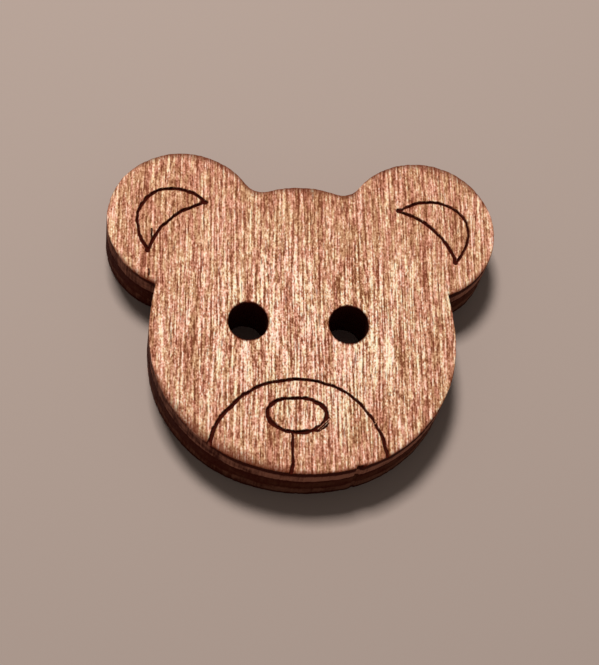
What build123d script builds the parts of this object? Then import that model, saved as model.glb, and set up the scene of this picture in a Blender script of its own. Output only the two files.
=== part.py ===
from build123d import *
from math import hypot, radians, sin
import os

# Sewing button cut by laser from three-ply birch plywood in the outline of a bear's head.
# Millimetres. The button lies on its back: the engraved face looks up (+Z), the ears point to +Y.
# The origin is the middle of the outline's box on the back face, and X = 0 is the outline's centre line.

# Overall size of the outline
button_width = 20.0
button_height = 17.4

# The three veneers, glued with the grain of the middle one crossed
face_veneer_thickness = 1.2
core_veneer_thickness = 0.9
back_veneer_thickness = 0.9

# The head: arcs that run into each other from the chin, round the cheeks and up the temples,
# and a crown between the ears. The temples and the crown end under the ears.
chin_radius = 9.15
chin_half_sweep = 16.8
temple_radius = 12.25
temple_sweep = 24.0
crown_radius = 5.3
crown_half_sweep = 40.0
crown_above_chin = 15.7
crown_corner_radius = 1.1

# The ears: two circles that touch the sides and the top of the outline's box
ear_radius = 3.9
ear_overhang = 2.28
ear_notch_radius = 0.1

# The two sewing holes, which are the bear's eyes
sewing_hole_diameter = 2.0
sewing_hole_spacing = 5.06
sewing_hole_above_chin = 8.0

# The engraved face stands a little left of the outline's centre line
face_shift = -0.25

# Lines burnt into the face by the laser
line_width = 0.17
line_depth = 0.16

# Nose: an ellipse
nose_width = 2.92
nose_height = 1.82
nose_above_chin = 3.02
nose_shift = -0.09

# Muzzle: one arc from edge to edge over the nose
muzzle_radius = 4.35
muzzle_centre_above_chin = 0.64
muzzle_end_angle = 3.0
muzzle_shift = -0.07

# Line from the nose down to the chin
lip_shift = -0.33
lip_overrun = 0.4

# Crescent in each ear: two arcs that share their ends, measured from the ear's centre
crescent_inner_tip_x = -1.1
crescent_inner_tip_y = 1.07
crescent_outer_tip_x = 1.78
crescent_outer_tip_y = -1.78
crescent_outer_rise = 2.12
crescent_inner_rise = 0.56

# Burnt, slightly eased arris round the face and round the sewing holes
arris_bevel = 0.07

# Mark on the edge where the cut starts and ends, at the end of the chin's arc
start_mark_radius = 0.12

# The cheeks reach out from the end of the chin's arc to the head's half width
head_half_width = button_width / 2 - ear_overhang
chin_share = sin(radians(chin_half_sweep))
cheek_radius = (head_half_width - chin_radius * chin_share) / (1 - chin_share)
cheek_sweep = 90 - chin_half_sweep

# How near a corner has to be to an ear's circle to count as lying on it
touch_tolerance = 0.001

# Places that follow from the sizes above
chin_y = -button_height / 2
ear_x = button_width / 2 - ear_radius
ear_y = button_height / 2 - ear_radius
eye_y = chin_y + sewing_hole_above_chin
core_z = back_veneer_thickness
face_z = core_z + core_veneer_thickness
top_z = face_z + face_veneer_thickness


def on_ear_circle(corner):
    """True for a corner of the outline that lies on either ear's circle."""
    return abs(hypot(abs(corner.X) - ear_x, corner.Y - ear_y) - ear_radius) < touch_tolerance


# The blank: what the laser cuts through all three veneers
with BuildSketch() as blank:
    with BuildLine():
        chin = CenterArc((0, chin_y + chin_radius), chin_radius, -90, chin_half_sweep)
        cheek = JernArc(chin @ 1, chin % 1, cheek_radius, cheek_sweep)
        temple = JernArc(cheek @ 1, cheek % 1, temple_radius, temple_sweep)
        crown_centre = (0, chin_y + crown_above_chin - crown_radius)
        crown = CenterArc(crown_centre, crown_radius, 90 - crown_half_sweep, crown_half_sweep)
        Line(temple @ 1, crown @ 0)
        mirror(about=Plane.YZ)
    make_face()
    with Locations((-ear_x, ear_y), (ear_x, ear_y)):
        Circle(ear_radius)
    crown_corners = blank.vertices().filter_by(on_ear_circle).sort_by(Axis.Y)[-2:]
    fillet(crown_corners, crown_corner_radius)
    ear_notches = blank.vertices().filter_by(on_ear_circle).sort_by(Axis.Y)[:2]
    fillet(ear_notches, ear_notch_radius)
    with Locations((face_shift, eye_y)):
        with GridLocations(sewing_hole_spacing, 0, 2, 1):
            Circle(sewing_hole_diameter / 2, mode=Mode.SUBTRACT)
    with Locations(chin @ 1):
        Circle(start_mark_radius, mode=Mode.SUBTRACT)

# The drawing: every line that the laser burns into the face
with BuildSketch() as drawing:
    nose_y = chin_y + nose_above_chin
    with Locations((face_shift + nose_shift, nose_y)):
        Ellipse((nose_width + line_width) / 2, (nose_height + line_width) / 2)
        Ellipse((nose_width - line_width) / 2, (nose_height - line_width) / 2, mode=Mode.SUBTRACT)

    muzzle_arc = CenterArc(
        (face_shift + muzzle_shift, chin_y + muzzle_centre_above_chin),
        muzzle_radius,
        muzzle_end_angle,
        180 - 2 * muzzle_end_angle,
        mode=Mode.PRIVATE,
    )
    SlotArc(muzzle_arc, line_width)

    lip_top = nose_y - nose_height / 2
    lip_bottom = chin_y - lip_overrun
    with Locations((face_shift + lip_shift, (lip_top + lip_bottom) / 2)):
        SlotCenterToCenter(lip_top - lip_bottom, line_width, rotation=90)

    for side in (-1, 1):
        inner_tip = (side * (ear_x + crescent_inner_tip_x), ear_y + crescent_inner_tip_y)
        outer_tip = (side * (ear_x + crescent_outer_tip_x), ear_y + crescent_outer_tip_y)
        for rise in (crescent_outer_rise, crescent_inner_rise):
            crescent_arc = SagittaArc(inner_tip, outer_tip, side * rise, mode=Mode.PRIVATE)
            SlotArc(crescent_arc, line_width)

# Back veneer, whose underside is the flat face that the button rests on
with BuildPart() as back_veneer:
    with BuildSketch():
        add(blank.sketch)
    extrude(amount=back_veneer_thickness)

# Core veneer, with its grain across the button
with BuildPart() as core_veneer:
    with BuildSketch(Plane.XY.offset(core_z)):
        add(blank.sketch)
    extrude(amount=core_veneer_thickness)

# Face veneer, with the eased arris and the burnt lines
with BuildPart() as face_veneer:
    with BuildSketch(Plane.XY.offset(face_z)):
        add(blank.sketch)
    extrude(amount=face_veneer_thickness)
    top_face = face_veneer.faces().sort_by(Axis.Z)[-1]
    chamfer(top_face.edges(), arris_bevel)
    with BuildSketch(Plane.XY.offset(top_z)):
        add(drawing.sketch)
    extrude(amount=-line_depth, mode=Mode.SUBTRACT)

os.makedirs("parts", exist_ok=True)
back_veneer.part.label = "back_veneer"
export_step(back_veneer.part, "parts/back_veneer.step")
core_veneer.part.label = "core_veneer"
export_step(core_veneer.part, "parts/core_veneer.step")
face_veneer.part.label = "face_veneer"
export_step(face_veneer.part, "parts/face_veneer.step")
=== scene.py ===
# %% [markdown]
# # A wooden sewing button in the shape of a bear's head
# The real button is 20 mm wide. A laser cut it out of three-ply birch plywood and, with less power,
# drew a face on it in thin burnt lines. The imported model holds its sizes. This lesson makes its
# looks: the brushed grain, the burnt lines as real grooves, and the charred, layered edge.
# All shapes are worked out in millimetres and are put into the meshes in metres.

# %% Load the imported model
import math

import bpy
import numpy as np
from mathutils import Euler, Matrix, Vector
from mathutils.geometry import delaunay_2d_cdt


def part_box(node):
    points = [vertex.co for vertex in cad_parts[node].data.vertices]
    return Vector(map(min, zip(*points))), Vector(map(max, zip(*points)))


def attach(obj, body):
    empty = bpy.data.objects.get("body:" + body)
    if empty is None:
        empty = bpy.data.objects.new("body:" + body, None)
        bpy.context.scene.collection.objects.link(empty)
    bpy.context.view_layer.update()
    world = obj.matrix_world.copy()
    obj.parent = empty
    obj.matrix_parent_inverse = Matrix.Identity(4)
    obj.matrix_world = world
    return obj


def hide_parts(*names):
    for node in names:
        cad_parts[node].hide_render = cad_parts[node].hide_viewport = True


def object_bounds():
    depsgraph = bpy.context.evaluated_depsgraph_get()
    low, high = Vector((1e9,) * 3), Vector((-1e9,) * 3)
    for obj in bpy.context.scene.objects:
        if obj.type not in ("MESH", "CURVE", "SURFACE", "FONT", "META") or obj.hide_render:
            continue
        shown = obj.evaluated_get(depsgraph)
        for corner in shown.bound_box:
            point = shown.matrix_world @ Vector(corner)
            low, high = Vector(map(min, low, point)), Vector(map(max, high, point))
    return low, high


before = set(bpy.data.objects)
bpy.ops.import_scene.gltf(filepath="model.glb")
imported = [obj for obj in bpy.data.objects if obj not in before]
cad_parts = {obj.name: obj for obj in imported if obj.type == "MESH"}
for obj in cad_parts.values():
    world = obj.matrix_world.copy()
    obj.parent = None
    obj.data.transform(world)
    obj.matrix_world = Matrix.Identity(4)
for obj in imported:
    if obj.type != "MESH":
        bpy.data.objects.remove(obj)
cad_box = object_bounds()
MM = 0.001
button_width, button_height, button_thickness = (cad_box[1] - cad_box[0]) / MM
core_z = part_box("core_veneer")[0].z / MM
face_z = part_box("face_veneer")[0].z / MM
top_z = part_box("face_veneer")[1].z / MM
print(f"button {button_width:.2f} x {button_height:.2f} x {button_thickness:.2f} mm")
print(f"veneers meet at {core_z:.2f} and {face_z:.2f} mm, the face is at {top_z:.2f} mm")

# %% [markdown]
# ## The camera
# The photograph was taken by hand from about 9 cm away, from the chin's side and a little from the
# left, so the chin's edge shows and the ears, which are further away, look a little smaller. Three
# turns from looking straight down are easier to read than a target point: nod back, lean, and roll.
# A long lens on a 36 mm sensor gives the same perspective as the photograph's crop.

# %% Place the camera
camera_place = (-9.553, -37.539, 84.578)
camera_nod, camera_lean, camera_roll = 23.908, -6.305, -0.506
camera_lens = 97.44
camera = bpy.data.objects.new("camera", bpy.data.cameras.new("camera"))
bpy.context.scene.collection.objects.link(camera)
camera.location = Vector(camera_place) * MM
camera_turns = (camera_nod, camera_lean, camera_roll)
camera.rotation_euler = Euler([math.radians(turn) for turn in camera_turns])
camera.data.lens = camera_lens
camera.data.clip_start = 0.001
bpy.context.scene.camera = camera
print("camera", [round(part, 4) for part in camera.location])

# %% [markdown]
# ## The floor, the lamps and the sky
# The button lies on a plain pale floor. A soft lamp stands high beyond the ears and a little to the
# left, so the shadow falls towards the chin's side and the brushed face picks up a faint sheen. A weak
# sky fills the shadows. Together they light the face so that a colour renders as it is written.

# %% Colours as a screen shows them
def srgb(red, green, blue):
    """The linear colour, with an alpha of 1, of three numbers from 0 to 255 as a screen shows them."""
    shown = np.array([red, green, blue]) / 255
    linear = np.where(shown > 0.04045, ((shown + 0.055) / 1.055) ** 2.4, shown / 12.92)
    return (*linear.tolist(), 1.0)


print("a screen's middle grey is", round(srgb(128, 128, 128)[0], 3), "in linear light")

# %% The floor
floor_tint = srgb(169, 150, 139)
floor_reach = 1.5
floor_gap = 0.01
floor_mesh = bpy.data.meshes.new("floor")
floor_corners = [(-1, -1, 0), (1, -1, 0), (1, 1, 0), (-1, 1, 0)]
floor_mesh.from_pydata((np.array(floor_corners) * floor_reach).tolist(), [], [(0, 1, 2, 3)])
floor = bpy.data.objects.new("floor", floor_mesh)
bpy.context.scene.collection.objects.link(floor)
floor.location.z = -floor_gap * MM
floor_finish = bpy.data.materials.new("pale_floor")
floor_finish.use_nodes = True
floor_shader = floor_finish.node_tree.nodes["Principled BSDF"]
floor_shader.inputs["Base Color"].default_value = floor_tint
floor_shader.inputs["Roughness"].default_value = 0.9
floor_mesh.materials.append(floor_finish)
print("floor", floor_reach * 2, "m wide")


# %% The lamps
def add_lamp(name, way, distance, size, light):
    """A square soft lamp that looks at the button. `way` points from the button to the lamp, distance
    and size are in millimetres, and `light` is the share of plain daylight that it gives a face
    turned towards it: the watts are that share times pi squared times the distance squared."""
    lamp = bpy.data.objects.new(name, bpy.data.lights.new(name, "AREA"))
    bpy.context.scene.collection.objects.link(lamp)
    lamp.data.size = size * MM
    lamp.data.energy = light * (math.pi * distance * MM) ** 2
    lamp.location = Vector(way).normalized() * distance * MM
    lamp.rotation_euler = Vector(way).to_track_quat("Z", "Y").to_euler()
    print(name, round(lamp.data.energy, 4), "W")


add_lamp("soft_window", (-0.15, 0.44, 1.0), distance=200, size=44, light=1.0)
sky_strength = 0.17
sky = bpy.data.worlds.new("sky")
sky.use_nodes = True
sky_shader = sky.node_tree.nodes["Background"]
sky_shader.inputs["Color"].default_value = srgb(255, 250, 246)
sky_shader.inputs["Strength"].default_value = sky_strength
bpy.context.scene.world = sky
bpy.context.scene.view_settings.view_transform = "Standard"

# %% [markdown]
# ## The outline
# The laser's path round the head is a chain of circular arcs: chin, cheek and temple run into each
# other, the ears are circles, a crown lies between them, and small arcs fill the corners.
# Each arc is one row of numbers: centre, radius, start angle and sweep. A negative sweep bends the
# other way, as in a corner. With such a chain, any place on the edge is known from its run along it.

# %% The driving sizes of the outline, in millimetres and degrees
chin_radius = 9.15
chin_half_sweep = math.radians(16.8)
temple_radius = 12.25
crown_radius = 5.3
crown_above_chin = 15.7
crown_corner_radius = 1.1
ear_radius = 3.9
ear_overhang = 2.28
ear_notch_radius = 0.1
head_half_width = button_width / 2 - ear_overhang
chin_share = math.sin(chin_half_sweep)
cheek_radius = (head_half_width - chin_radius * chin_share) / (1 - chin_share)
chin_y = -button_height / 2
ear_centre = np.array([button_width / 2 - ear_radius, button_height / 2 - ear_radius])
crown_centre = np.array([0, chin_y + crown_above_chin - crown_radius])
chin_centre = np.array([0, chin_y + chin_radius])
cheek_way = np.array([chin_share, -math.cos(chin_half_sweep)])
cheek_centre = chin_centre + (chin_radius - cheek_radius) * cheek_way
temple_centre = cheek_centre - [temple_radius - cheek_radius, 0]
print(f"cheek radius {cheek_radius:.3f} mm")


# %% Directions, distances and the arc in a corner
def bearing(way):
    """The angle of a direction, from +X towards +Y."""
    return math.atan2(way[1], way[0])


def way_at(angle):
    """The direction at an angle, or at each of many: its cosine along X and its sine along Y."""
    return np.stack([np.cos(angle), np.sin(angle)], -1)


def distance_to(point, places):
    """How far each place is from one point."""
    return np.hypot(*(places - point).T)


def corner_arc(first_centre, first_radius, second_centre, second_radius, radius):
    """The small arc in the corner where one circle passes into the next. Its centre lies its own
    radius outside both circles, to the right of the line from the first centre to the second, and
    it is run through clockwise."""
    reach, next_reach = first_radius + radius, second_radius + radius
    span = np.hypot(*(second_centre - first_centre))
    along = (second_centre - first_centre) / span
    forward = (reach**2 - next_reach**2 + span**2) / (2 * span)
    sideways = math.sqrt(reach**2 - forward**2)
    centre = first_centre + forward * along + sideways * np.array([along[1], -along[0]])
    start, end = bearing(first_centre - centre), bearing(second_centre - centre)
    return [*centre, radius, start, -((start - end) % math.tau)]


print("the direction at 60 degrees is", way_at(math.radians(60)).round(3))

# %% The chain of arcs
notch = corner_arc(temple_centre, temple_radius, ear_centre, ear_radius, ear_notch_radius)
crown_corner = corner_arc(ear_centre, ear_radius, crown_centre, crown_radius, crown_corner_radius)
temple_end = bearing(np.array(notch[:2]) - temple_centre)
ear_start = bearing(np.array(notch[:2]) - ear_centre)
ear_end = bearing(np.array(crown_corner[:2]) - ear_centre)
crown_start = bearing(np.array(crown_corner[:2]) - crown_centre)
half_chain = np.array([
    [*chin_centre, chin_radius, -math.pi / 2, chin_half_sweep],
    [*cheek_centre, cheek_radius, chin_half_sweep - math.pi / 2, math.pi / 2 - chin_half_sweep],
    [*temple_centre, temple_radius, 0, temple_end],
    notch,
    [*ear_centre, ear_radius, ear_start, (ear_end - ear_start) % math.tau],
    crown_corner,
    [*crown_centre, crown_radius, crown_start, math.pi / 2 - crown_start],
])
mirrored = half_chain[::-1].copy()
mirrored[:, 0] *= -1
mirrored[:, 3] = math.pi - mirrored[:, 3] - mirrored[:, 4]
# The chain starts at the end of the chin's arc, because the laser's cut starts there.
outline = np.concatenate([half_chain[1:], mirrored, half_chain[:1]])
arc_lengths = np.abs(outline[:, 4]) * outline[:, 2]
arc_ends = np.cumsum(arc_lengths)
outline_length = arc_ends[-1]
print(f"{len(outline)} arcs, {outline_length:.2f} mm round")


# %% Places and distances on the chain
start_mark_radius = 0.12


def outline_at(run):
    """Places on the outline and their outward directions, for distances run along it. The arc is the
    one whose end comes next, and the angle is its start plus the share of its sweep that is run."""
    index = np.searchsorted(arc_ends, run, side="right")
    centre, (radius, start, sweep) = outline[index, :2], outline[index, 2:].T
    share = (run - arc_ends[index] + arc_lengths[index]) / arc_lengths[index]
    radial = way_at(start + sweep * share)
    return centre + radius[:, None] * radial, np.sign(sweep)[:, None] * radial


def distance_to_arc(places, arc):
    """The difference between the distance from the arc's centre and its radius where the bearing lies
    within the sweep, and the distance to the nearer end elsewhere."""
    centre, (radius, start, sweep) = arc[:2], arc[2:]
    x, y = (places - centre).T
    turned = np.mod((np.arctan2(y, x) - start) * np.sign(sweep), math.tau)
    ends = centre + radius * way_at(np.array([start, start + sweep]))
    to_ends = np.minimum(*[distance_to(end, places) for end in ends])
    return np.where(turned <= abs(sweep), np.abs(np.hypot(x, y) - radius), to_ends)


def rim_gap(places):
    """The distance to the cut edge: the least over all arcs and the round dent where the cut starts."""
    to_dent = np.abs(distance_to(start_mark, places) - start_mark_radius)
    return np.min([distance_to_arc(places, arc) for arc in outline] + [to_dent], axis=0)


def inside_loop(places, loop):
    """True inside a closed loop of points: a ray towards +X crosses it an odd number of times."""
    x, y = places[:, 0, None], places[:, 1, None]
    (x0, y0), (x1, y1) = loop.T, np.roll(loop, -1, axis=0).T
    straddles = (y0 > y) != (y1 > y)
    crossing = x0 + (y - y0) * (x1 - x0) / np.where(y1 == y0, 1, y1 - y0)
    return np.sum(straddles & (crossing > x), axis=1) % 2 == 1


rough_loop = outline_at(np.linspace(0, outline_length, 240, endpoint=False))[0]
start_mark = rough_loop[0]
print("outline box", rough_loop.min(0).round(2), rough_loop.max(0).round(2))

# %% [markdown]
# ## Random fields
# Wood is streaky: it changes quickly across the grain and slowly along it. A field of random heights
# on a lattice does that when its cells are narrow and long. Each column of the lattice is shifted by
# its own amount, because otherwise all the streaks would start and end on the same lines.

# %% A streaky field
field_reach = 14.0
field_gain = 1.5


def ease(share):
    """3 t squared minus 2 t cubed: from 0 to 1 with level ends."""
    return share * share * (3 - 2 * share)


def streak_field(places, across, along, seed):
    """Random heights on columns `across` mm apart in X, whose points lie `along` mm apart in Y. A
    place eases between the two points above and below it in each of the two columns beside it, and
    then between those columns. Easing flattens the heights, and the gain brings their spread back
    to about 1."""
    rng = np.random.default_rng(seed)
    columns, rows = int(2 * field_reach / across) + 3, int(2 * field_reach / along) + 4
    heights = rng.standard_normal((columns, rows))
    shifts = rng.random(columns)

    def column_height(column):
        level = (places[:, 1] + field_reach) / along + shifts[column]
        row = np.floor(level).astype(int)
        share = ease(level - row)
        return heights[column, row] * (1 - share) + heights[column, row + 1] * share

    place = (places[:, 0] + field_reach) / across
    column = np.floor(place).astype(int)
    share = ease(place - column)
    return field_gain * (column_height(column) * (1 - share) + column_height(column + 1) * share)


test_places = np.random.default_rng(1).uniform(-8, 8, (20000, 2))
print("spread of a streaky field", streak_field(test_places, 0.2, 1.5, 3).std().round(2))

# %% [markdown]
# ## The burnt lines
# The laser draws with a spot about 0.15 mm wide: a blunt oval for the nose, one long arc for the
# muzzle, a line down to the chin, and two arcs in each ear. On the real button each line wavers a
# little and swells and thins on its way, the nose's most. So a stroke is a path of short steps, with
# its own half width and its own shift sideways at each step, and smooth noise shakes it a little
# more. Here and there a strong fibre was spared and still bridges the burnt line.

# %% The drawing's driving sizes, in millimetres
line_width = 0.15
line_depth = 0.13
face_x = -0.25
nose_centre = np.array([face_x - 0.09, chin_y + 3.02])
# The nose's corners from its left end over the top: X and Y from its centre, and the line's width.
nose_corners = [
    (-1.49, 0.08, 0.14), (-1.46, 0.33, 0.13), (-1.31, 0.55, 0.18), (-1.14, 0.67, 0.19),
    (-0.89, 0.80, 0.16), (-0.60, 0.89, 0.14), (0.18, 0.92, 0.15), (0.51, 0.90, 0.17),
    (0.76, 0.83, 0.20), (1.17, 0.59, 0.29), (1.35, 0.43, 0.31), (1.44, 0.23, 0.24),
    (1.46, -0.10, 0.25), (1.34, -0.39, 0.32), (1.11, -0.57, 0.29), (0.86, -0.73, 0.21),
    (0.57, -0.83, 0.22), (0.00, -0.88, 0.21), (-0.53, -0.82, 0.22), (-0.77, -0.76, 0.22),
    (-1.18, -0.49, 0.30), (-1.34, -0.32, 0.27), (-1.46, -0.12, 0.19), (-1.48, 0.14, 0.14),
]
muzzle_centre = np.array([face_x - 0.07, chin_y + 0.64])
muzzle_radius = 4.35
# Of a line that follows an arc: its widths at even steps of its length, and how far it lies to the
# left of the arc there. The muzzle is drawn from its right foot, each crescent from its inner tip.
muzzle_widths = (0.17, 0.15, 0.14, 0.14, 0.14, 0.15, 0.16, 0.17, 0.21, 0.25, 0.25)
muzzle_lefts = (-0.04, 0.02, 0.00, -0.04, 0.00, 0.06, 0.06, 0.02, 0.02, -0.04, -0.08)
lip_widths = (0.13, 0.12, 0.13, 0.17, 0.15, 0.16)
lip_x = face_x - 0.345
inner_tip = np.array([-1.1, 1.07])
outer_tip = np.array([1.78, -1.78])
# Each crescent line's side of the head, its rise over the line from tip to tip, widths and lefts.
crescent_lines = [
    (-1, 2.12, (0.15, 0.17, 0.19, 0.16, 0.18, 0.14, 0.15, 0.17, 0.16),
     (0.00, -0.01, -0.03, -0.11, -0.06, 0.03, 0.12, 0.12, 0.05)),
    (-1, 0.56, (0.15, 0.16, 0.18, 0.17, 0.14, 0.17, 0.17, 0.20, 0.17),
     (0.00, 0.03, 0.06, 0.05, 0.03, 0.01, 0.06, 0.05, 0.00)),
    (1, 2.12, (0.15, 0.15, 0.16, 0.14, 0.15, 0.13, 0.10, 0.15, 0.16),
     (-0.07, -0.13, -0.13, 0.00, 0.12, 0.21, 0.10, -0.03, 0.00)),
    (1, 0.56, (0.16, 0.16, 0.16, 0.19, 0.17, 0.16, 0.16, 0.19, 0.16),
     (-0.04, -0.07, -0.03, -0.01, -0.02, -0.03, -0.03, -0.03, 0.00)),
]
eye_spacing = 5.06
eye_radius = 1.0
eye_y = chin_y + 8.0
step = 0.05
print(len(nose_corners), "corners on the nose,", len(crescent_lines), "lines in the ears")


# %% How a stroke wavers
def along_path(path, numbers):
    """The number at each point of a path, for numbers given at even steps of its length."""
    return np.interp(np.linspace(0, 1, len(path)), np.linspace(0, 1, len(numbers)), numbers)


def leftward(path):
    """The direction to the left at each point of a path: its slope, turned by a quarter."""
    x, y = np.gradient(path, axis=0).T
    return np.stack([-y, x], -1) / np.hypot(x, y)[:, None]


def wavering(path, width, seed, waver=0.012, left=0.0, swell=1.0):
    """Moves a path to its left, shakes it sideways and gives each of its points half a stroke's
    width. The shakes follow eased random heights along the path, half a millimetre apart, with a
    finer shake on top, and the width swells and thins in the same way."""
    run = np.stack([np.zeros(len(path)), np.arange(len(path)) * step - field_reach], -1)
    spacings = (0.5, 0.14, 0.45, 0.15)
    heights = [streak_field(run, 1, along, seed + i) for i, along in enumerate(spacings)]
    sideways = left + waver * (heights[0] + 0.5 * heights[1])
    share = np.clip(swell * (0.06 * heights[2] + 0.07 * heights[3]), -0.25, 0.35)
    return path + sideways[:, None] * leftward(path), width / 2 * (1 + share)


test_path = np.stack([np.linspace(0, 3, 61), np.zeros(61)], -1)
test_shake = np.abs(wavering(test_path, line_width, 1)[0][:, 1]).max()
print(f"a straight stroke of 3 mm is shaken by {test_shake:.3f} mm at most")


# %% Paths on arcs and through corners
def arc_path(centre, radius, start, sweep):
    """Points a step apart on a circular arc."""
    shares = np.linspace(0, 1, int(abs(sweep) * radius / step) + 1)
    return centre + radius * way_at(start + sweep * shares)


def bowed_path(first, second, rise):
    """The arc through two points that stands `rise` above the middle of the line between them, to its
    left: its radius is half the sum of the rise and the squared half line over the rise."""
    half = np.hypot(*(second - first)) / 2
    radius = (half**2 / rise + rise) / 2
    along = (second - first) / (2 * half)
    centre = (first + second) / 2 - (radius - rise) * np.array([-along[1], along[0]])
    start, end = bearing(first - centre), bearing(second - centre)
    return arc_path(centre, radius, start, -((start - end) % math.tau))


def path_through(corners):
    """Points a step apart on straight lines from corner to corner. Columns after X and Y, such as a
    width, change evenly along each line."""
    corners = np.array(corners)
    run = np.concatenate([[0], np.cumsum(np.hypot(*np.diff(corners[:, :2], axis=0).T))])
    even = np.linspace(0, run[-1], int(run[-1] / step) + 2)
    return np.stack([np.interp(even, run, column) for column in corners.T], -1)


nose_path = path_through(nose_corners)
print(len(nose_path), "points round the nose")

# %% Draw the strokes
strokes = [wavering(nose_centre + nose_path[:, :2], nose_path[:, 2], 10, waver=0.009, swell=2.0)]


def draw_line(path, widths, seed, lefts=(0, 0), **shakes):
    """Adds a stroke whose widths and lefts are given at even steps of its path's length."""
    left = along_path(path, lefts)
    strokes.append(wavering(path, along_path(path, widths), seed, left=left, **shakes))


muzzle_drop = 0.055
muzzle_path = arc_path(muzzle_centre, muzzle_radius, muzzle_drop, math.pi - 2 * muzzle_drop)
draw_line(muzzle_path, muzzle_widths, 20, muzzle_lefts)
overrun = 0.12
lip_corners = [
    (lip_x, nose_centre[1] - 0.9), (lip_x, chin_y + 0.5), (lip_x - 0.13, chin_y - overrun),
]
draw_line(path_through(lip_corners), lip_widths, 30, waver=0.006)
# The beam dwelt where the cut starts and at each crescent's tips: X, Y and radius of the spots.
dwells = [
    (2.68, -8.29, 0.12), (2.84, -8.25, 0.12), (2.97, -8.2, 0.09),
    (-5.14, 5.87, 0.13), (5.16, 5.93, 0.1),
]
tip_dwell = 0.13
for side, rise, widths, lefts in crescent_lines:
    path = bowed_path(ear_centre + inner_tip, ear_centre + outer_tip, rise) * (side, 1)
    draw_line(path, widths, 40 + 10 * (rise < 1) + 100 * (side > 0), lefts)
    dwells += [(*path[0], tip_dwell), (*path[-1], tip_dwell)]
# Two long open pores in the left ear look like thin burnt lines.
pore_line_widths = (0.075, 0.075)
pore_lines = [((-7.7, 4.23), (-7.72, 3.55)), ((-7.77, 1.95), (-7.79, 1.62))]
for number, ends in enumerate(pore_lines):
    draw_line(path_through(ends), pore_line_widths, 300 + 10 * number)
fibre_width = 0.04
spared_ends = [
    ((3.3, -6.1), (3.74, -5.76)), ((0.66, -6.34), (1.24, -5.77)), ((0.76, -6.37), (1.33, -5.81)),
]
spared_paths = [path_through(ends) for ends in spared_ends]
spared = [(path, np.full(len(path), fibre_width / 2)) for path in spared_paths]
stroke_steps = sum(len(path) for path, _ in strokes)
print(len(strokes), "strokes,", stroke_steps, "steps,", len(spared), "spared fibres")


# %% The distance to the strokes
gap_reach = 0.7


def stroke_gap_one(places, path, half_width):
    """The signed distance to one stroke: the distance to the nearest of its straight steps less half
    its width there, which is negative inside the stroke. Places far off are left at the reach."""
    near = np.all((places > path.min(0) - gap_reach) & (places < path.max(0) + gap_reach), axis=1)
    found = np.full(len(places), gap_reach)
    steps = np.diff(path, axis=0)
    offset = places[near][:, None] - path[:-1]
    share = np.clip(np.sum(offset * steps, -1) / np.sum(steps**2, -1), 0, 1)
    away = np.linalg.norm(offset - share[..., None] * steps, axis=-1)
    width = half_width[:-1] + share * np.diff(half_width)
    found[near] = np.min(away - width, axis=1)
    return found


def stroke_gap(places):
    """The signed distance to the drawing: the least over all strokes and the spots where the beam
    dwelt at a stroke's end. A spared fibre is taken out again: inside it, the gap is positive."""
    to_strokes = [stroke_gap_one(places, *stroke) for stroke in strokes]
    to_spots = [distance_to((x, y), places) - radius for x, y, radius in dwells]
    to_spared = [-stroke_gap_one(places, *fibre) for fibre in spared]
    return np.maximum(np.min(to_strokes + to_spots, axis=0), np.max(to_spared, axis=0))


eye_centres = np.array([(face_x + side * eye_spacing / 2, eye_y) for side in (-1, 1)])


def hole_gap(places, stretch=1.0):
    """The distance to the nearer sewing hole's edge, or to that of an oval which is longer than the
    hole along the grain by a factor."""
    scale = np.array([1, stretch])
    to_centres = [distance_to(centre / scale, places / scale) for centre in eye_centres]
    return np.min(to_centres, axis=0) - eye_radius


print("share of the test places in a burnt line", (stroke_gap(test_places) < 0).mean().round(3))

# %% [markdown]
# ## The face as a height over every place
# The face is one sheet: its height is a function of X and Y. From the top of the button down come
# the brushed fibres, a few open pores, the raised lips beside the burnt lines, and the lines' own
# round-bottomed grooves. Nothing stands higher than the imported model's face.

# %% The height of the face
fibre_depth = 0.014
pore_depth = 0.02
lip_height = 0.006
lip_gap = 0.02
lip_reach = 0.03
face_seed = 60


def bell(distance, reach):
    """A bell curve that is 1 at 0: e to the power of minus the square of distance over reach."""
    return np.exp(-((distance / reach) ** 2))


def grain_relief(places, seed):
    """Depth below the highest fibre: long streaks, short flecks and slow waves of the surface, added
    up, and pores where a field of narrow cells is above two spreads."""
    streaks = streak_field(places, 0.14, 1.6, seed) + 0.7 * streak_field(places, 0.16, 0.4, seed + 1)
    waves = streak_field(places, 0.8, 6.0, seed + 2) + streak_field(places, 3.5, 5.0, seed + 3)
    pores = ease(np.clip(streak_field(places, 0.13, 0.9, seed + 4) - 1.5, 0, 1))
    depth = fibre_depth * (1 + 0.35 * streaks + 0.25 * waves) + pore_depth * pores
    return np.clip(depth, 0, None)


def face_height(places):
    """Height of the face: the top less the grain's relief, plus a lip beside each stroke, less the
    stroke's depth, which follows a circle from the stroke's edge to its middle."""
    gap = stroke_gap(places)
    share = np.clip(-gap / (line_width / 2), 0, 1)
    uneven = 1 + 0.15 * streak_field(places, 0.2, 0.2, 7)
    groove = line_depth * np.sqrt(1 - (1 - share) ** 2) * uneven
    lip = lip_height * bell(gap - lip_gap, lip_reach)
    return np.minimum(top_z - grain_relief(places, face_seed) + lip, top_z) - groove


print("relief of the plain face", grain_relief(test_places, face_seed).max().round(3), "mm at most")

# %% [markdown]
# ## The cut edge
# A laser's cut is not smooth: it has fine upright ridges that lean a little, a burnt and eased
# arris at the top, and a slight hollow at each glue line, where the beam eats more. The edge is a
# profile carried along the outline. The walls of the two sewing holes are the same profile carried
# round a circle the other way, so that the wood is on the left of both.

# %% Stations on the three cut paths
station_gap = 0.045
least_stations = 8
dent_stations = 15


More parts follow.
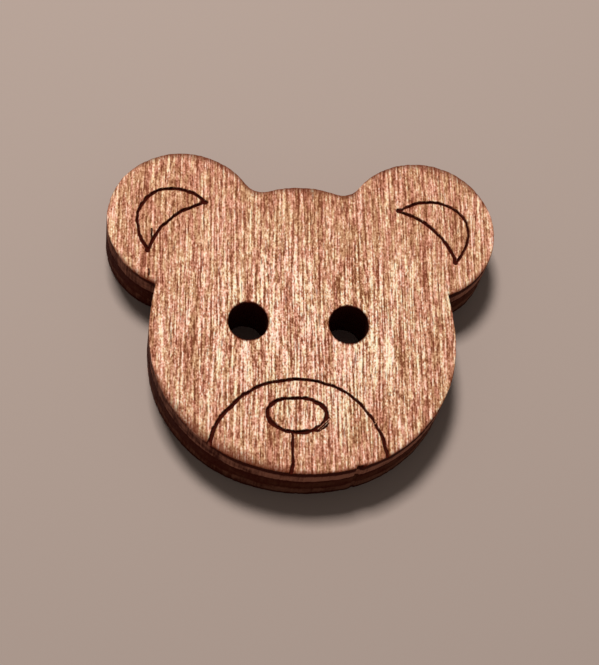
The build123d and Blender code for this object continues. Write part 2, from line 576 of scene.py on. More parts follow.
def rim_stations():
    """Runs along the outline, about one station gap apart and at least eight to an arc, with closer
    ones in the dent where the cut starts."""
    counts = np.maximum(np.ceil(arc_lengths / station_gap).astype(int), least_stations)
    begins = arc_ends - arc_lengths
    rows = zip(begins, arc_lengths, counts)
    runs = np.concatenate([begin + length * np.arange(n) / n for begin, length, n in rows])
    clear = start_mark_radius * 1.15
    runs = runs[(runs > clear) & (runs < outline_length - clear)]
    in_dent = np.linspace(-clear, clear, dent_stations) % outline_length
    return np.sort(np.concatenate([runs, in_dent]))


rim_runs = rim_stations()
rim_places, rim_outward = outline_at(rim_runs)
from_mark = np.minimum(rim_runs, outline_length - rim_runs)
rim_dent = np.sqrt(np.clip(start_mark_radius**2 - from_mark**2, 0, None))
hole_stations = int(math.tau * eye_radius / station_gap)
hole_ways = way_at(-np.linspace(0, math.tau, hole_stations, endpoint=False))
cut_paths = [(rim_places, rim_outward, rim_dent)]
for centre in eye_centres:
    cut_paths.append((centre + eye_radius * hole_ways, -hole_ways, np.zeros(hole_stations)))
print(len(rim_runs), "stations on the rim,", hole_stations, "on each hole")

# %% [markdown]
# The jet of air at the laser's head blew the smoke to the lower left, so on that side the arris is
# rounder and brown soot creeps onto the face. A fainter brown border runs along the far side. On the
# chin's side the flame held on below the face and left a black line there. Beside the ears' outer
# lower edges the face is a little lighter.

# %% Which way each burn lies, and how an edge faces it
smoke_bearing = math.radians(233)
soot_bearing = math.radians(205)
under_ear_bearing = math.radians(240)
black_line_bearing = math.radians(285)
far_bearing = math.radians(78)
left_shine_bearing = math.radians(210)
right_shine_bearing = math.radians(335)
ears_begin = 1.2


def outward_near(places):
    """The outward direction of the nearest arc of the outline."""
    nearest = np.argmin([distance_to_arc(places, arc) for arc in outline], axis=0)
    way = places - outline[nearest, :2]
    return np.sign(outline[nearest, 4])[:, None] * way / np.hypot(*way.T)[:, None]


def facing(places, angle, least=0.4, most=0.9):
    """1 beside edges that look in the direction of the angle and 0 beside those turned away from it.
    The cosine of the turn between them is eased from `least` to `most`."""
    cosine = outward_near(places) @ way_at(angle)
    return ease(np.clip((cosine - least) / (most - least), 0, 1))


def on_ears(places):
    """1 at the height of the ears and 0 below them, eased over the millimetre where they begin."""
    return ease(np.clip(places[:, 1] - ears_begin, 0, 1))


print("share of the test places as high as the ears", on_ears(test_places).mean().round(3))

# %% Smoke, soot, shine and the black line
ear_smoke_loss = 0.6
far_smoke = 0.5
far_line = 0.6
right_shine = 0.6
start_line_reach = 0.25
hole_line_reach = 0.4


def smoke_at(places):
    """How much smoke crept onto the face from the nearest edge: most at the head's lower left, less
    at the ears' lower left, and half as much along the far side."""
    near = facing(places, smoke_bearing, 0.77, 0.995) * (1 - ear_smoke_loss * on_ears(places))
    return np.maximum(near, far_smoke * facing(places, far_bearing))


def soot_at(places):
    """How much soot lies on the cut wall: at the left, and on the ears' undersides."""
    return np.maximum(facing(places, soot_bearing), facing(places, under_ear_bearing) * on_ears(places))


def shine_at(places):
    """How much lighter the face is beside the nearest edge: on the ears' outer lower sides, and more
    on the left ear."""
    left, right = facing(places, left_shine_bearing), facing(places, right_shine_bearing)
    return np.where(places[:, 0] < 0, left, right_shine * right) * on_ears(places)


def black_line_at(places):
    """How much of a black line lies under the face's edge: on the chin's side, in the holes, round
    the start of the cut, where it fades as a bell curve, and a little less on the far side."""
    at_start = bell(distance_to(start_mark, places), start_line_reach)
    near, far = facing(places, black_line_bearing), facing(places, far_bearing)
    in_holes = hole_gap(places) < hole_line_reach
    return np.max([near, far_line * far, at_start, in_holes], axis=0)


print("mean smoke over the test places", smoke_at(test_places).mean().round(3))

# %% The profile of the cut
arris_size = 0.06
smoke_arris = 1.2
back_arris_share = 0.5
dent_at_back = 0.35
ridge_depth = 0.012
ridge_width = 0.14
ridge_lean = (0.12, -0.09)
slow_depth = 0.004
glue_hollow = 0.02
glue_reach = 0.05


def cut_inset(places, level):
    """How far the cut face lies inside the model's edge: upright ridges that lean, a slow unevenness,
    and a hollow at each glue line that fades as a bell curve."""
    leaning = places + level[:, None] * ridge_lean
    ridges = ridge_depth * (0.9 + 0.5 * streak_field(leaning, ridge_width, ridge_width, 80))
    slow = slow_depth * streak_field(leaning, 0.9, 0.9, 81)
    glue = bell(level - core_z, glue_reach) + bell(level - face_z, glue_reach)
    return np.clip(ridges + slow + glue_hollow * glue, 0, None)


def arris_at(places):
    """The size of the eased arris, about a quarter more or less by chance, and more where smoke
    went."""
    uneven = 0.25 * np.clip(streak_field(places, 0.35, 0.35, 82), -1.5, 1.5)
    return arris_size * (1 + uneven + smoke_arris * smoke_at(places))


def tapered(dent, level):
    """The dent where the cut starts, which narrows evenly from the face to the back."""
    return dent * (dent_at_back + (1 - dent_at_back) * level / top_z)


def wall_rows(path, levels):
    """One row of points for each level, which is an array with one height for each station."""
    places, outward, dent = path
    rows = []
    for level in levels:
        inset = cut_inset(places, level) + tapered(dent, level)
        rows.append(np.column_stack([places - outward * inset[:, None], level]))
    return np.array(rows)


def arris_rows(path, height, way, count=4):
    """The rounded arris between a sheet and the wall: `way` is 1 at the top and -1 at the bottom,
    where the arris is smaller. Each row is a turn of a quarter circle, from the sheet to the wall,
    and its inset goes from the arris's size to the wall's own."""
    places, outward, dent = path
    size = arris_at(places) * (1 if way > 0 else back_arris_share)
    edge = places - outward * (size + (dent if way > 0 else dent * dent_at_back))[:, None]
    sheet_level = height(edge)
    rows = []
    for turn in np.linspace(0, math.pi / 2, count):
        level = sheet_level - way * size * (1 - math.cos(turn))
        inset = size * (1 - math.sin(turn)) + cut_inset(places, level) * math.sin(turn)
        inset += tapered(dent, level)
        rows.append(np.column_stack([places - outward * inset[:, None], level]))
    return np.array(rows)


rim_arris = arris_at(rim_places)
print(f"the arris is {rim_arris.min():.3f} to {rim_arris.max():.3f} mm wide on the rim")

# %% [markdown]
# ## From rows and sheets to closed pieces
# A wall is a grid of rows, so its faces follow from row and column. A sheet is filled by a Delaunay
# triangulation, which joins any set of points in a plane: the rim, the rims of the holes, rows of
# points carried along the burnt strokes, and a fine lattice, narrow across the grain and long along
# it. The patches share the points where they meet, and welding them gives one closed skin.

# %% Grid faces, sheets and welding
inside_only = 1
nearness = 1e-7


def wall_patch(rows):
    """Points and triangles of a closed band: row i, column j joins row i + 1 and column j + 1."""
    count = rows.shape[1]
    low = np.arange(rows.shape[0] - 1)[:, None] * count
    here, beside = np.arange(count), (np.arange(count) + 1) % count
    a, b, c, d = [(low + part).ravel() for part in (here, here + count, beside + count, beside)]
    return rows.reshape(-1, 3), np.concatenate([np.stack([a, b, c], -1), np.stack([a, c, d], -1)])


def sheet_patch(loops, inner, way):
    """Points and triangles of a sheet with holes. The loops keep their own points, the inner points
    join them, and triangles whose middle lies in a hole are left out. `way` is 1 for a sheet that
    looks up."""
    points = np.concatenate(loops + [inner])
    starts = np.cumsum([0] + [len(loop) for loop in loops])
    rings = [np.arange(a, b) for a, b in zip(starts[:-1], starts[1:])]
    edges = np.concatenate([np.stack([ring, np.roll(ring, -1)], -1) for ring in rings])
    flat = [Vector(place) for place in points[:, :2].tolist()]
    found_points, _, found_faces, *_ = delaunay_2d_cdt(flat, edges.tolist(), [], inside_only, nearness)
    if len(found_points) != len(points):
        raise ValueError(f"a sheet's points were merged: {len(points)} became {len(found_points)}")
    faces = np.array(found_faces)
    for hole in loops[1:]:
        faces = faces[~inside_loop(points[faces].mean(axis=1)[:, :2], hole[:, :2])]
    a, b, c = (points[faces[:, i], :2] for i in range(3))
    turned = (b - a)[:, 0] * (c - a)[:, 1] - (b - a)[:, 1] * (c - a)[:, 0]
    wrong = turned * way < 0
    faces[wrong] = faces[wrong][:, ::-1]
    return points, faces


def weld(patches):
    """Joins patches into one skin: points that are the same to a ten-thousandth of a millimetre
    become one, and faces that lost a corner are dropped. Says also where each point came from."""
    offsets = np.cumsum([0] + [len(points) for points, _ in patches])
    points = np.concatenate([points for points, _ in patches])
    faces = np.concatenate([faces + offset for (_, faces), offset in zip(patches, offsets)])
    _, first, shared = np.unique(np.round(points, 4), axis=0, return_index=True, return_inverse=True)
    faces = shared.reshape(-1)[faces]
    whole = (faces[:, 0] != faces[:, 1]) & (faces[:, 1] != faces[:, 2]) & (faces[:, 2] != faces[:, 0])
    return points[first], faces[whole], first


test_band = wall_patch(np.zeros((2, 4, 3)))
print("a band of two rows of four points has", len(test_band[1]), "triangles")


# %% The points of a sheet
def lattice(across, along):
    """A brick lattice over the button's box: every other row is shifted by half a cell."""
    x = np.arange(-button_width / 2, button_width / 2, across)
    y = np.arange(-button_height / 2, button_height / 2, along)
    grid_x, grid_y = np.meshgrid(x, y)
    grid_x[1::2] += across / 2
    return np.stack([grid_x.ravel(), grid_y.ravel()], -1)


def in_the_wood(places, margin):
    """True for places inside the outline and outside the holes, by at least the arris and a margin."""
    least = arris_at(places) + margin
    kept = (hole_gap(places) > least) & (rim_gap(places) > least)
    kept[kept] = inside_loop(places[kept], rough_loop)
    return kept


row_shares = (-1.0, -0.55, 0, 0.55, 1.0)
row_margins = (0.03, 0.07)
row_clearance = 0.09
row_rim_margin = 0.03
cell_rim_margin = 0.035
under_rim_margin = 0.05
face_cell = (0.048, 0.115)
under_cell = (0.09, 0.24)


def path_rows(number):
    """Rows of points along a spared fibre or a stroke, at shares of its half width and at margins
    beside it, and on past its ends. Where an earlier path is near, that one's points are enough."""
    path, half_width = all_paths[number]
    before = path[0] + (path[0] - path[1]) * np.array([[3], [2], [1]])
    after = path[-1] + (path[-1] - path[-2]) * np.array([[1], [2], [3]])
    longer = np.concatenate([before, path, after])
    width = np.pad(half_width, 3, mode="edge")
    offsets = [width * share for share in row_shares]
    offsets += [sign * (width + margin) for sign in (-1, 1) for margin in row_margins]
    side = leftward(longer)
    rows = np.concatenate([longer + side * offset[:, None] for offset in offsets])
    for earlier in all_paths[:number]:
        rows = rows[stroke_gap_one(rows, *earlier) > row_clearance]
    return rows


def face_points():
    """All inner points of the face: the rows along the paths, then the lattice where no row is."""
    rows = np.concatenate([path_rows(number) for number in range(len(all_paths))])
    rows = rows[in_the_wood(rows, row_rim_margin)]
    cells = lattice(*face_cell)
    cells = cells[in_the_wood(cells, cell_rim_margin)]
    gaps = np.min([stroke_gap_one(cells, *path) for path in all_paths], axis=0)
    return np.concatenate([rows, cells[gaps > row_clearance]])


all_paths = spared + strokes
inner_points = face_points()
under_points = lattice(*under_cell)
under_points = under_points[in_the_wood(under_points, under_rim_margin)]
print(len(inner_points), "points inside the face's rim,", len(under_points), "inside the back's")


# %% The three plies
wall_steps = 12
crowding = 0.08
back_relief = 0.6
back_seed = 90


def cut_rows(path, high, low, top, bottom):
    """All rows of one cut path from the upper sheet to the lower one. Where a sheet is a finished
    one, an eased arris leads to it, and otherwise the wall ends square at the level given. The rows
    between are closer together near both ends."""
    upper, lower = [wall_rows(path, [np.full(len(path[0]), level)]) for level in (high, low)]
    if top:
        upper = arris_rows(path, top[0], 1)
    if bottom:
        lower = arris_rows(path, bottom[0], -1)[::-1]
    share = np.linspace(0, 1, wall_steps + 1)[1:-1, None]
    share = share - crowding * np.sin(math.tau * share)
    levels = upper[-1][:, 2] * (1 - share) + lower[0][:, 2] * share
    return np.concatenate([upper, wall_rows(path, levels), lower])


def ply_skin(high, low, top=None, bottom=None):
    """One veneer as a closed skin between two levels. A finished sheet is given as its height
    function and its inner points, and a hidden one, which touches the next veneer, is left flat."""
    bands = [cut_rows(path, high, low, top, bottom) for path in cut_paths]
    patches = [wall_patch(rows) for rows in bands]
    wall_points = sum(len(points) for points, _ in patches)
    for row, finished, way in ((0, top, 1), (-1, bottom, -1)):
        inner = np.zeros((0, 3))
        if finished:
            height, places = finished
            inner = np.column_stack([places, height(places)])
        patches.append(sheet_patch([rows[row] for rows in bands], inner, way))
    return *weld(patches), wall_points


def underside_height(places):
    """Height of the back: a part of the grain's relief, above the floor."""
    return back_relief * grain_relief(places, back_seed)


skins = {
    "face_ply": ply_skin(top_z, face_z, top=(face_height, inner_points)),
    "core_ply": ply_skin(face_z, core_z),
    "back_ply": ply_skin(core_z, 0, bottom=(underside_height, under_points)),
}


def open_edges(faces):
    """How many edges don't have exactly two faces: none in a closed skin."""
    edges = np.sort(np.concatenate([faces[:, [0, 1]], faces[:, [1, 2]], faces[:, [2, 0]]]), axis=1)
    return np.count_nonzero(np.unique(edges, axis=0, return_counts=True)[1] != 2)


for name, (points, faces, _, _) in skins.items():
    unused = len(points) - len(np.unique(faces))
    print(name, len(faces), "triangles,", open_edges(faces), "open edges,", unused, "stray points")


# %% Put the skins into meshes
sharp_angle = math.radians(62)


def make_piece(name, points, faces, node):
    """A mesh object at the origin, in metres, smooth but for its sharp edges."""
    mesh = bpy.data.meshes.new(name)
    mesh.from_pydata((points * MM).tolist(), [], faces.tolist())
    mesh.update()
    mesh.shade_smooth()
    mesh.set_sharp_from_angle(angle=sharp_angle)
    piece = bpy.data.objects.new(name, mesh)
    bpy.context.scene.collection.objects.link(piece)
    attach(piece, "root")
    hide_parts(node)
    return piece


def write_attribute(piece, name, values):
    """One number for each point, which a finish reads by its name."""
    layer = piece.data.attributes.new(name, "FLOAT", "POINT")
    layer.data.foreach_set("value", values.astype(np.float32))


def burnt_share(level):
    """0 at the face and at the back, and eased to 1 within one and a half arrises of them."""
    return ease(np.clip(np.minimum(top_z - level, level) / arris_size - 0.4, 0, 1))


def charred_hole_gap(places):
    """The distance to an oval hole, because the char reaches a little further along the grain."""
    return hole_gap(places, stretch=1.06)


place_rules = {
    "stroke_gap": stroke_gap, "rim_gap": rim_gap, "hole_gap": charred_hole_gap, "smoke": smoke_at,
    "soot": soot_at, "shine": shine_at, "black_line": black_line_at,
}
pieces = {}
for name, (points, faces, first, wall_points) in skins.items():
    node = name.replace("_ply", "_veneer")
    piece = make_piece(name, points, faces, node)
    for attribute, rule in place_rules.items():
        write_attribute(piece, attribute, rule(points[:, :2]))
    write_attribute(piece, "cut_wall", (first < wall_points) * burnt_share(points[:, 2]))
    pieces[name] = piece
print("made", sorted(pieces))

# %% [markdown]
# ## The grain, as a group that every veneer uses
# Birch is made of fine pale and reddish fibres. After brushing it shows narrow streaks, 0.1 to 0.2 mm
# wide, broken into dashes and speckles, with dark open pores and cream glints, which are painted
# highlights. The group stretches noise along the grain to make them. Its quarter turn lays the grain
# across the button, as in the core. It gives a tone, lighter in the middle with a painted sheen, masks
# for painted glints and pores, a warmth and a height, and no shader.

# %% Helpers for nodes
def feed(tree, socket, value):
    """Links another node's output to a socket, or sets the socket to a number or a colour."""
    if isinstance(value, bpy.types.NodeSocket):
        tree.links.new(value, socket)
    else:
        socket.default_value = value


def add_node(tree, kind, inputs, **settings):
    """Adds one node to the tree. The settings are its properties, and the inputs feed its sockets,
    which are given by name or number."""
    made = tree.nodes.new("ShaderNode" + kind)
    for name, value in settings.items():
        setattr(made, name, value)
    for name, value in inputs.items():
        feed(tree, made.inputs[name], value)
    return made


def calc(tree, operation, first, second=0.0, third=0.0):
    """The output of one Math node."""
    return add_node(tree, "Math", {0: first, 1: second, 2: third}, operation=operation).outputs[0]


def smooth_step(tree, value, low, high):
    """0 below `low`, 1 above `high` and an eased rise between."""
    inputs = {"Value": value, "From Min": low, "From Max": high}
    return add_node(tree, "MapRange", inputs, interpolation_type="SMOOTHSTEP").outputs["Result"]


def millimetres(tree):
    """Where a point lies on the button: its X, Y and Z in millimetres."""
    on_object = tree.nodes.new("ShaderNodeTexCoord").outputs["Object"]
    parts = add_node(tree, "SeparateXYZ", {"Vector": on_object}).outputs
    return [calc(tree, "MULTIPLY", part, 1 / MM) for part in parts]


def stretched_noise(tree, across, along, level, width, length, detail=0.0, seed=0.0):
    """Noise whose cells are `width` mm across the grain and `length` mm along it, around 0.5."""
    place = add_node(tree, "CombineXYZ", {
        "X": calc(tree, "DIVIDE", across, width),
        "Y": calc(tree, "DIVIDE", along, length),
        "Z": calc(tree, "DIVIDE", level, width),
    })
    inputs = {"Vector": place.outputs[0], "W": seed, "Scale": 1.0, "Detail": detail}
    return add_node(tree, "TexNoise", inputs, noise_dimensions="4D").outputs["Fac"]


# %% A helper for node groups
def new_group(name, numbers, outputs):
    """An empty shader group whose inputs and outputs are all numbers."""
    group = bpy.data.node_groups.new(name, "ShaderNodeTree")
    for label, value in numbers.items():
        socket = group.interface.new_socket(label, in_out="INPUT", socket_type="NodeSocketFloat")
        socket.default_value = value
    for label in outputs:
        group.interface.new_socket(label, in_out="OUTPUT", socket_type="NodeSocketFloat")
    arriving, leaving = group.nodes.new("NodeGroupInput"), group.nodes.new("NodeGroupOutput")
    return group, arriving.outputs, leaving.inputs


# %% The brushed birch group and its grain
birch, birch_in, birch_out = new_group(
    "brushed_birch",
    {"Quarter Turn": 0.0, "Seed": 0.0},
    ["Tone", "Painted Glint", "Pore", "Warmth", "Height"],
)
x, y, z = millimetres(birch)
turn, seed = birch_in["Quarter Turn"], birch_in["Seed"]
straight = calc(birch, "MULTIPLY_ADD", turn, calc(birch, "SUBTRACT", y, x), x)
along = calc(birch, "MULTIPLY_ADD", turn, calc(birch, "SUBTRACT", x, y), y)
bends = stretched_noise(birch, straight, along, z, 2.5, 6.0, seed=seed)
across = calc(birch, "MULTIPLY_ADD", calc(birch, "SUBTRACT", bends, 0.5), 0.25, straight)


def grain_noise(width, length, detail, seed_step):
    """Noise along the grain, with the group's own seed moved on by a step."""
    moved = calc(birch, "ADD", seed, seed_step)
    return stretched_noise(birch, across, along, z, width, length, detail, moved)


print(birch.name, "has", len(birch.nodes), "nodes so far")

# %% The tone of the fibres
# Each layer's width and length in millimetres, its detail, and its weight in the tone.
tone_layers = [
    (0.1, 4.0, 1.0, 1.4),
    (0.1, 0.4, 1.0, 0.95),
    (0.07, 0.1, 0.0, 0.75),
    (0.6, 9.0, 0.0, 0.1),
    (2.6, 6.0, 0.0, 0.09),
]
layers = [grain_noise(*sizes, 3.7 * i + 1) for i, (*sizes, _) in enumerate(tone_layers)]
tone = 0.5
for layer, (*_, weight) in zip(layers, tone_layers):
    tone = calc(birch, "MULTIPLY_ADD", calc(birch, "SUBTRACT", layer, 0.5), weight, tone)
print(len(tone_layers), "layers of tone")

# %% The lighter middle of the face, a painted sheen
# The middle is lighter and has more contrast: a painted sheen, where the lamp's light gleams on the
# brushed face. Both fade out towards the rim.
sheen_reach_x, sheen_reach_y = 8.6, 6.4
sheen_y = -1.6
from_middle = add_node(birch, "CombineXYZ", {
    "X": calc(birch, "DIVIDE", x, sheen_reach_x),
    "Y": calc(birch, "DIVIDE", calc(birch, "SUBTRACT", y, sheen_y), sheen_reach_y),
}).outputs[0]
middle_gap = add_node(birch, "VectorMath", {0: from_middle}, operation="LENGTH").outputs["Value"]
# The painted sheen's mask: 1 in the middle of the face and 0 towards the rim.
wear_and_sheen = smooth_step(birch, middle_gap, 1.25, 0.25)
contrast = calc(birch, "MULTIPLY_ADD", wear_and_sheen, 0.35, 0.85)
tone = calc(birch, "MULTIPLY_ADD", calc(birch, "SUBTRACT", tone, 0.5), contrast, 0.5)
tone = calc(birch, "MULTIPLY_ADD", calc(birch, "SUBTRACT", wear_and_sheen, 0.57), 0.11, tone)
# Painted highlights: the glints are cream spots on the bright ridges, with more of them in the painted
# sheen of the middle.
bright_streaks = smooth_step(birch, layers[0], 0.4, 0.62)
on_ridges = calc(birch, "MULTIPLY", bright_streaks, smooth_step(birch, tone, 0.45, 0.6))
spots = smooth_step(birch, grain_noise(0.085, 0.15, 0.0, 21), 0.5, 0.64)
painted_glint = calc(birch, "MULTIPLY", spots, on_ridges)
painted_glint = calc(birch, "MULTIPLY", painted_glint, calc(birch, "MULTIPLY_ADD", wear_and_sheen, 0.6, 0.4))
pore = smooth_step(birch, grain_noise(0.08, 0.75, 0.0, 33), 0.34, 0.27)
fine_warmth, broad_warmth = grain_noise(0.16, 0.9, 1.0, 47), grain_noise(1.1, 3.5, 1.0, 53)
warmth = calc(birch, "MULTIPLY_ADD", fine_warmth, 0.75, calc(birch, "MULTIPLY", broad_warmth, 0.25))
fuzz = calc(birch, "SUBTRACT", grain_noise(0.07, 0.5, 1.0, 59), 0.5)
height = calc(birch, "MULTIPLY_ADD", fuzz, 0.7, tone)
feed(birch, birch_out["Tone"], tone)
feed(birch, birch_out["Painted Glint"], painted_glint)
feed(birch, birch_out["Pore"], pore)
feed(birch, birch_out["Warmth"], smooth_step(birch, warmth, 0.38, 0.62))
feed(birch, birch_out["Height"], calc(birch, "MULTIPLY_ADD", pore, -0.2, height))
print(birch.name, len(birch.nodes), "nodes")

# %% [markdown]
# ## The scorch, as a group
# Wherever the beam passed, the wood is charred black, and beyond that it is tanned brown for a few
# tenths of a millimetre. The group turns a distance in millimetres into those two masks. Noise makes
# the edge of the char ragged, more so along the grain, where the heat runs in the fibres.

# %% The scorch group
scorch, scorch_in, scorch_out = new_group(
    "laser_scorch",
    {"Gap": 1.0, "Char Reach": 0.0, "Tan Reach": 0.2, "Raggedness": 0.05},
    ["Char", "Tan"],
)
place = millimetres(scorch)
ragged = calc(scorch, "SUBTRACT", stretched_noise(scorch, *place, 0.1, 0.22, 2.0, 5.0), 0.5)
gap = calc(scorch, "MULTIPLY_ADD", ragged, scorch_in["Raggedness"], scorch_in["Gap"])
past_char = calc(scorch, "SUBTRACT", gap, scorch_in["Char Reach"])
feed(scorch, scorch_out["Char"], smooth_step(scorch, past_char, 0.025, -0.025))
blotches = calc(scorch, "MULTIPLY_ADD", stretched_noise(scorch, *place, 0.9, 0.9, 2.0, 8.0), 1.6, 0.2)
tan_reach = calc(scorch, "MULTIPLY", scorch_in["Tan Reach"], blotches)
fade = calc(scorch, "DIVIDE", past_char, tan_reach)
feed(scorch, scorch_out["Tan"], smooth_step(scorch, fade, 1.0, 0.0))
print(scorch.name, len(scorch.nodes), "nodes")

# %% [markdown]
# ## The cut edge, as a group
# On the edge the char is not even: upright streaks from the beam's pulses, dull brown where the soot
# has rubbed off, near black at the glue lines and just under the face.

# %% The cut edge group
cut_edge, cut_in, cut_out = new_group(
    "laser_cut_edge",
    {"Upper Char": 0.0, "Lower Char": 0.0, "High": 3.0, "Low": 0.0, "Soot": 0.0, "Seed": 0.0},
    ["Brown", "Height"],
)
x, y, z = millimetres(cut_edge)
seed = cut_in["Seed"]
pulses = stretched_noise(cut_edge, x, z, y, 0.11, 2.2, 2.0, seed)
smudges = stretched_noise(cut_edge, x, z, y, 0.8, 0.5, 2.0, calc(cut_edge, "ADD", seed, 4))
rub = calc(cut_edge, "MULTIPLY_ADD", pulses, 0.7, calc(cut_edge, "MULTIPLY", smudges, 0.9))
sooty = calc(cut_edge, "MULTIPLY_ADD", cut_in["Soot"], -0.25, rub)
# Here the same name holds where the soot has worn off the wall and the brown shows.
wear_and_sheen = smooth_step(cut_edge, sooty, 0.35, 0.85)
wobble = calc(cut_edge, "MULTIPLY", calc(cut_edge, "SUBTRACT", smudges, 0.5), 0.25)
from_high = calc(cut_edge, "ADD", calc(cut_edge, "SUBTRACT", cut_in["High"], z), wobble)
from_low = calc(cut_edge, "ADD", calc(cut_edge, "SUBTRACT", z, cut_in["Low"]), wobble)
upper = smooth_step(cut_edge, calc(cut_edge, "SUBTRACT", from_high, cut_in["Upper Char"]), -0.1, 0.12)
lower = smooth_step(cut_edge, calc(cut_edge, "SUBTRACT", from_low, cut_in["Lower Char"]), -0.1, 0.12)
brown = calc(cut_edge, "MULTIPLY", wear_and_sheen, calc(cut_edge, "MULTIPLY", upper, lower))
feed(cut_edge, cut_out["Brown"], brown)
feed(cut_edge, cut_out["Height"], rub)
print(cut_edge.name, len(cut_edge.nodes), "nodes")

# %% [markdown]
# ## The finish of one veneer
# All three veneers are birch and were cut by the same beam, so one function makes their materials,
# and only the grain's direction and the edge's tones differ. The wood's colours are set by its tone:
# reddish brown in the hollows, salmon in the middle and cream on the fibres that catch the light; the
# cream is partly a painted highlight.

# %% The colours of the wood and the char
# Clean wood has one of these colours where the grain's tone is the number before it, and a blend of
# the two nearest elsewhere.
wood_tones = [
    (0.16, srgb(122, 66, 40)),
    (0.34, srgb(173, 117, 87)),
    (0.50, srgb(206, 152, 121)),
    (0.66, srgb(240, 192, 160)),
    (0.86, srgb(255, 236, 208)),
]
# The colour of the painted highlight glints.
painted_glint_cream = srgb(255, 246, 222)
pore_brown = srgb(110, 44, 22)
pink_tint = srgb(255, 234, 239)
straw_tint = srgb(250, 253, 236)
tan_brown = srgb(98, 44, 24)
stroke_char = srgb(58, 8, 2)
wall_char = srgb(66, 14, 3)
painted_glint_share = 0.85
pore_share = 0.7
shine_lift = 0.12
bump_depth = 0.04
gloss = 0.12
gloss_tint = srgb(255, 226, 200)
print(len(wood_tones), "tones of wood")


# %% Helpers for materials
def blend_colours(tree, share, first, second, kind="MIX"):
    """The output of a Mix node for two colours. It has sockets for other kinds of value too, and only
    those for its own kind are enabled."""
    made = add_node(tree, "Mix", {}, data_type="RGBA", blend_type=kind)
    enabled = [socket for socket in made.inputs if socket.enabled]
    for socket, value in zip(enabled, (share, first, second)):
        feed(tree, socket, value)
    return next(socket for socket in made.outputs if socket.enabled)


def use_group(tree, group, inputs):
    """Places a group in a material, with its own values, and gives its outputs."""
    return add_node(tree, "Group", inputs, node_tree=group).outputs


def read_attribute(tree, name):
    """The number that the mesh holds under this name."""
    return add_node(tree, "Attribute", {}, attribute_name=name).outputs["Fac"]


# %% The colour of clean wood
def wood_colour(tree, grain, rim_gap):
    """The ramp of wood tones, a hue that drifts from pink to straw, and painted highlight glints and
    pores on top.
    """
    near_rim = smooth_step(tree, rim_gap, 0.6, 0.3)
    shine = calc(tree, "MULTIPLY", read_attribute(tree, "shine"), near_rim)
    lifted = calc(tree, "MULTIPLY_ADD", shine, shine_lift, grain["Tone"])
    ramp = add_node(tree, "ValToRGB", {"Fac": lifted})
    stops = ramp.color_ramp.elements
    while len(stops) < len(wood_tones):
        stops.new(0.5)
    for stop, (place, colour) in zip(stops, wood_tones):
        stop.position, stop.color = place, colour
    hue = blend_colours(tree, grain["Warmth"], pink_tint, straw_tint)
    wood = blend_colours(tree, 1.0, ramp.outputs["Color"], hue, "MULTIPLY")
    wood = blend_colours(tree, calc(tree, "MULTIPLY", grain["Painted Glint"], painted_glint_share), wood, painted_glint_cream)
    return blend_colours(tree, calc(tree, "MULTIPLY", grain["Pore"], pore_share), wood, pore_brown)


# %% The burns on a sheet
def sheet_burns(tree, rim_gap, hole_gap, black_line):
    """How far each place of a sheet is tanned and charred: the most that a stroke, the rim and a hole
    do there. Smoke widens the rim's tan, and a black line below the rim darkens its arris."""
    smoke = read_attribute(tree, "smoke")
    clean_reach = calc(tree, "MULTIPLY_ADD", black_line, 0.14, 0.1)
    burns = [
        ({"Gap": read_attribute(tree, "stroke_gap"), "Tan Reach": 0.05, "Raggedness": 0.09}, 0.3),
        ({"Gap": rim_gap, "Char Reach": calc(tree, "MULTIPLY_ADD", black_line, 0.03, -0.03),
          "Tan Reach": calc(tree, "MULTIPLY_ADD", smoke, 0.5, clean_reach), "Raggedness": 0.1}, 0.9),
        ({"Gap": hole_gap, "Char Reach": 0.0, "Tan Reach": 0.1, "Raggedness": 0.15}, 0.9),
    ]
    tanned = charred = 0.0
    for inputs, tan_share in burns:
        burn = use_group(tree, scorch, inputs)
        tanned = calc(tree, "MAXIMUM", tanned, calc(tree, "MULTIPLY", burn["Tan"], tan_share))
        charred = calc(tree, "MAXIMUM", charred, burn["Char"])
    return tanned, charred


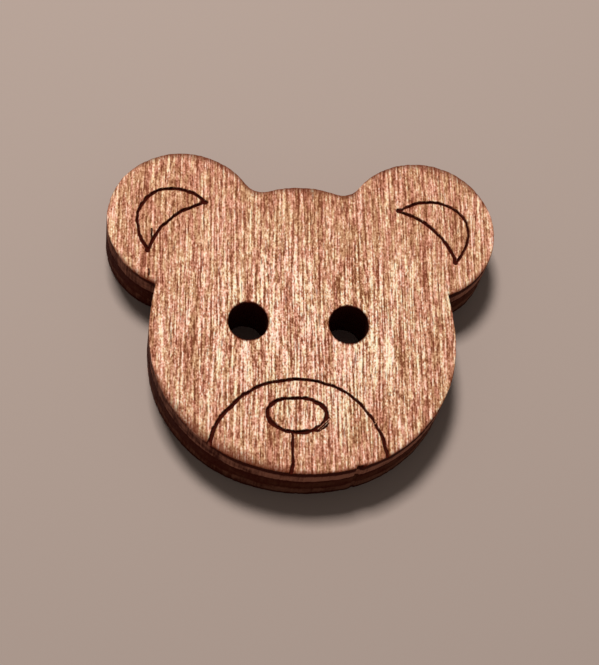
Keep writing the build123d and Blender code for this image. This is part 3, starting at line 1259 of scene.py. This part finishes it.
# %% The veneer finish
def veneer_finish(name, turn, seed, edge_brown, edge):
    """Brushed birch on the sheets, scorched near every cut and stroke, and charred on the cut walls."""
    finish = bpy.data.materials.new(name)
    finish.use_nodes = True
    tree = finish.node_tree
    shader = tree.nodes["Principled BSDF"].inputs
    grain = use_group(tree, birch, {"Quarter Turn": turn, "Seed": seed})
    gaps = [read_attribute(tree, attribute) for attribute in ("rim_gap", "hole_gap")]
    black_line = read_attribute(tree, "black_line")
    tanned, charred = sheet_burns(tree, *gaps, black_line)
    sheet = blend_colours(tree, tanned, wood_colour(tree, grain, gaps[0]), tan_brown)
    sheet = blend_colours(tree, charred, sheet, stroke_char)
    # Inside the holes the walls turn to the char colour all over: their own char, darkened further as
    # painted shade of the deep holes.
    in_hole = smooth_step(tree, gaps[1], 0.3, 0.1)
    soot_and_hole_shade = calc(tree, "MULTIPLY_ADD", in_hole, 2.0, edge["Soot"])
    cut = use_group(tree, cut_edge, {
        "High": edge["High"],
        "Low": edge["Low"],
        "Upper Char": calc(tree, "MULTIPLY_ADD", black_line, edge["Black Line"], edge["Upper Char"]),
        "Lower Char": edge["Lower Char"],
        "Soot": calc(tree, "MULTIPLY_ADD", read_attribute(tree, "soot"), 0.9, soot_and_hole_shade),
        "Seed": seed,
    })
    wall = blend_colours(tree, cut["Brown"], wall_char, edge_brown)
    cut_wall = read_attribute(tree, "cut_wall")
    dull = calc(tree, "MAXIMUM", charred, cut_wall)
    fibre_roughness = calc(tree, "MULTIPLY_ADD", grain["Tone"], -0.25, 0.58)
    sheet_height = calc(tree, "MULTIPLY", grain["Height"], calc(tree, "SUBTRACT", 1.0, dull))
    height = calc(tree, "MULTIPLY_ADD", cut["Height"], cut_wall, sheet_height)
    bump = add_node(tree, "Bump", {"Height": height, "Strength": 1.0, "Distance": bump_depth * MM})
    feed(tree, shader["Base Color"], blend_colours(tree, cut_wall, sheet, wall))
    feed(tree, shader["Roughness"], calc(tree, "MULTIPLY_ADD", dull, 0.4, fibre_roughness))
    feed(tree, shader["Normal"], bump.outputs["Normal"])
    feed(tree, shader["Specular IOR Level"], gloss)
    feed(tree, shader["Specular Tint"], gloss_tint)
    print(name, len(tree.nodes), "nodes")
    return finish


# %% The three finishes
finishes = {
    "face_ply": veneer_finish("face_birch", turn=0.0, seed=2.0, edge_brown=srgb(158, 104, 84), edge={
        "High": top_z, "Low": face_z,
        "Upper Char": -0.1, "Black Line": 0.58, "Lower Char": 0.05, "Soot": 0.0,
    }),
    "core_ply": veneer_finish("core_birch", turn=1.0, seed=12.0, edge_brown=srgb(84, 42, 26), edge={
        "High": face_z, "Low": core_z,
        "Upper Char": 0.1, "Black Line": 0.0, "Lower Char": 0.1, "Soot": 0.6,
    }),
    "back_ply": veneer_finish("back_birch", turn=0.0, seed=22.0, edge_brown=srgb(116, 72, 54), edge={
        "High": core_z, "Low": 0.0,
        "Upper Char": 0.05, "Black Line": 0.0, "Lower Char": 0.25, "Soot": 0.2,
    }),
}
for name, finish in finishes.items():
    pieces[name].data.materials.append(finish)
